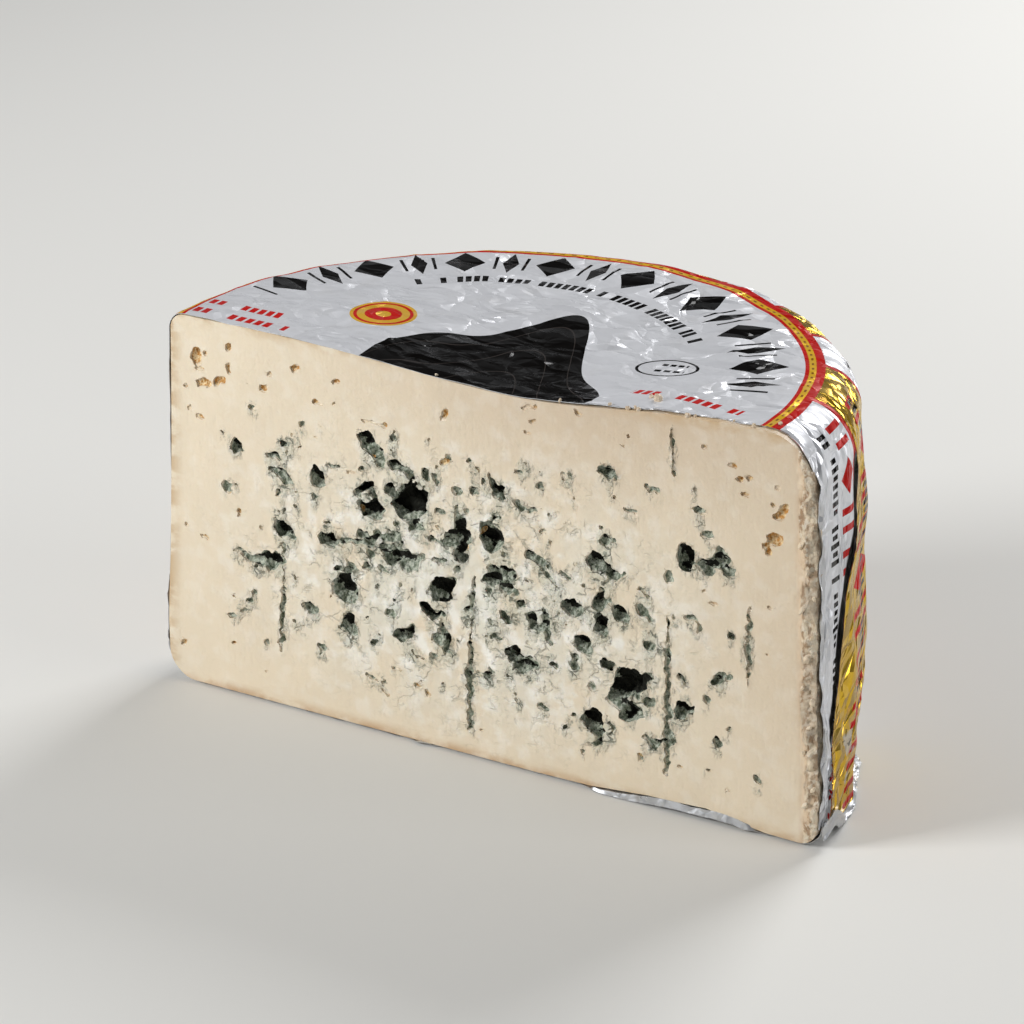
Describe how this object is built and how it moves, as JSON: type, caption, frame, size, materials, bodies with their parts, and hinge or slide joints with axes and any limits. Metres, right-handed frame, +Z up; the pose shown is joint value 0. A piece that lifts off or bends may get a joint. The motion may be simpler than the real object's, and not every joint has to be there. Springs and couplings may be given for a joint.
{
  "type": "blue cheese half wheel",
  "caption": "Half wheel of blue-veined cheese, cut upright, with open veins on its face and its printed foil still on.",
  "frame": {"origin": "middle of the underside of the half wheel", "axes": "+X along the cut face, +Y from the cut face towards the round back, +Z up"},
  "size_m": [0.197, 0.1016, 0.1079],
  "materials": {
    "cheese_paste": "moist cut cheese paste with blue-green veins",
    "printed_foil": "satin printed aluminium foil, creased",
    "bare_foil": "bright crumpled foil"
  },
  "bodies": {
    "root": {"cheese": "cheese_paste", "foil_label": "printed_foil", "foil_base": "bare_foil"}
  },
  "joints": []
}
